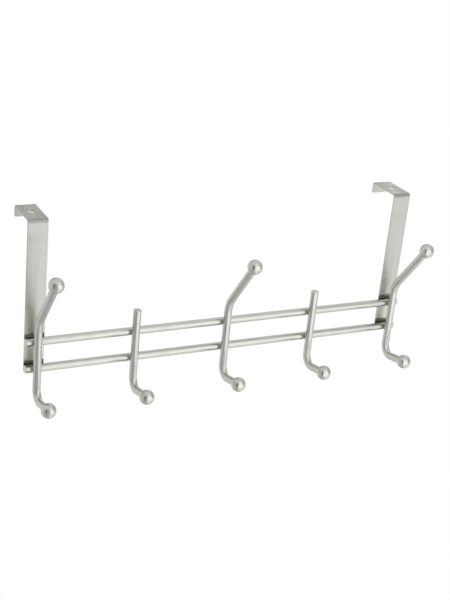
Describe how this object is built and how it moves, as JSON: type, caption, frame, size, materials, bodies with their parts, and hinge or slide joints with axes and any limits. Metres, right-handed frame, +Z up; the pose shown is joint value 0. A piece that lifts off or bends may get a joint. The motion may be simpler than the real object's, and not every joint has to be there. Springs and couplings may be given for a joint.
{
  "type": "over door hook",
  "caption": "Over door coat rack: folded metal straps carry round rails with bent rod hooks that end in balls.",
  "frame": {"origin": "midway between the two screw holes, on the plane of the top plates' undersides, which rest on the door's top edge", "axes": "+X along the rails to the viewer's right, +Y towards the back of the door, +Z up and out of the screw holes"},
  "size_m": [0.42, 0.1078, 0.1839],
  "materials": {
    "brushed_strip": "brushed along its length, satin",
    "satin_rod": "satin, fine polish",
    "satin_ball": "turned and satin polished"
  },
  "bodies": {
    "root": {"left_strap": "brushed_strip", "right_strap": "brushed_strip", "upper_rail": "satin_rod", "lower_rail": "satin_rod", "hook_rod_1": "satin_rod", "hook_rod_2": "satin_rod", "hook_rod_3": "satin_rod", "hook_rod_4": "satin_rod", "hook_rod_5": "satin_rod", "lower_ball_1": "satin_ball", "lower_ball_2": "satin_ball", "lower_ball_3": "satin_ball", "lower_ball_4": "satin_ball", "lower_ball_5": "satin_ball", "upper_ball_1": "satin_ball", "upper_ball_3": "satin_ball", "upper_ball_5": "satin_ball"}
  },
  "joints": []
}
